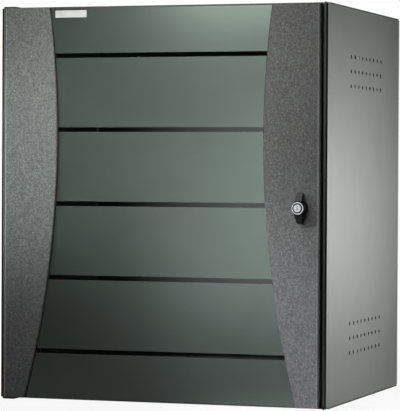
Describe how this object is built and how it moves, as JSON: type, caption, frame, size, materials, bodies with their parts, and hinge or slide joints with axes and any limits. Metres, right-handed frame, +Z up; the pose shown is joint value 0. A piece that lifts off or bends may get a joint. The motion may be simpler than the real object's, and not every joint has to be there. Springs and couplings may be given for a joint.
{
  "type": "wall-mount rack cabinet",
  "caption": "Box-shaped wall-mount rack cabinet with a hinged glazed door between two curved stiles, a wing-knob cam lock, vented sides and depth-adjustable mounting rails.",
  "frame": {"origin": "middle of the body's underside, on the plane that the body stands on", "axes": "+X to the right of someone facing the door, +Y from the door to the wall, +Z up"},
  "size_m": [0.54, 0.4816, 0.625],
  "materials": {
    "panel_paint": "satin powder coat",
    "frame_paint": "satin powder coat",
    "stile_paint": "speckled powder coat",
    "zinc_steel": "zinc plated",
    "bright_steel": "ground",
    "brass": "turned",
    "clear_glass": "tempered, clear",
    "frosted_glass": "frosted print",
    "foam": "closed-cell foam",
    "nylon": "moulded",
    "black_plastic": "moulded, satin",
    "chrome": "polished"
  },
  "bodies": {
    "cabinet": {"top_panel": "panel_paint", "bottom_panel": "panel_paint", "rear_panel": "panel_paint", "left_side_panel": "panel_paint", "right_side_panel": "panel_paint", "left_front_post": "panel_paint", "right_front_post": "panel_paint", "upper_hinge_ear": "frame_paint", "lower_hinge_ear": "frame_paint", "lower_hinge_pin": "bright_steel", "hinge_washer": "nylon", "lower_right_carrier": "zinc_steel", "upper_right_carrier": "zinc_steel", "lower_left_carrier": "zinc_steel", "upper_left_carrier": "zinc_steel", "side_panel_screws": "zinc_steel", "top_cable_cover": "panel_paint", "bottom_cable_cover": "panel_paint", "fan_cover": "panel_paint", "top_cover_screws": "zinc_steel", "bottom_cover_screws": "zinc_steel", "earth_stud": "brass", "earth_nuts": "brass"},
    "door": {"left_stile": "stile_paint", "right_stile": "stile_paint", "door_left_channel": "frame_paint", "door_right_channel": "frame_paint", "door_top_rail": "frame_paint", "door_bottom_rail": "frame_paint", "stile_screws": "zinc_steel", "glass_pane": "clear_glass", "frosted_bands": "frosted_glass", "door_gasket": "foam", "upper_hinge_block": "nylon", "lower_hinge_block": "nylon", "hinge_block_screws": "zinc_steel", "hinge_spring": "bright_steel", "lock_housing": "black_plastic", "lock_nut": "zinc_steel"},
    "hinge_latch": {"upper_hinge_pin": "bright_steel", "hinge_pull_peg": "bright_steel"},
    "lock": {"wing_knob": "black_plastic", "lock_bezel": "chrome", "lock_spindle": "bright_steel", "lock_cam": "zinc_steel", "cam_screw": "zinc_steel"},
    "key": {"key_cylinder": "chrome"},
    "left_rail": {"left_mounting_rail": "zinc_steel", "left_rail_bolts": "zinc_steel", "left_rail_nuts": "zinc_steel"},
    "right_rail": {"right_mounting_rail": "zinc_steel", "right_rail_bolts": "zinc_steel", "right_rail_nuts": "zinc_steel"}
  },
  "joints": [
    {"name": "door_hinge", "type": "hinge", "parent": "cabinet", "child": "door", "pos_m": [-0.24951, -0.226, 0.3125], "axis": [0, 0, -1], "range_deg": [0, 120]},
    {"name": "hinge_pin_draw", "type": "slide", "parent": "door", "child": "hinge_latch", "axis": [0, 0, -1], "range_m": [0, 0.005], "stiffness_N_per_m": 800, "springref_m": -0.005, "deforming": ["hinge_spring"]},
    {"name": "lock_turn", "type": "hinge", "parent": "door", "child": "lock", "pos_m": [0.23201, -0.236, 0.3091], "axis": [0, -1, 0], "range_deg": [0, 90]},
    {"name": "key_turn", "type": "hinge", "parent": "lock", "child": "key", "pos_m": [0.23201, -0.236, 0.3091], "axis": [0, -1, 0], "range_deg": [0, 90]},
    {"name": "left_rail_slide", "type": "slide", "parent": "cabinet", "child": "left_rail", "axis": [0, 1, 0], "range_m": [0, 0.2]},
    {"name": "right_rail_slide", "type": "slide", "parent": "cabinet", "child": "right_rail", "axis": [0, 1, 0], "range_m": [0, 0.2]}
  ]
}
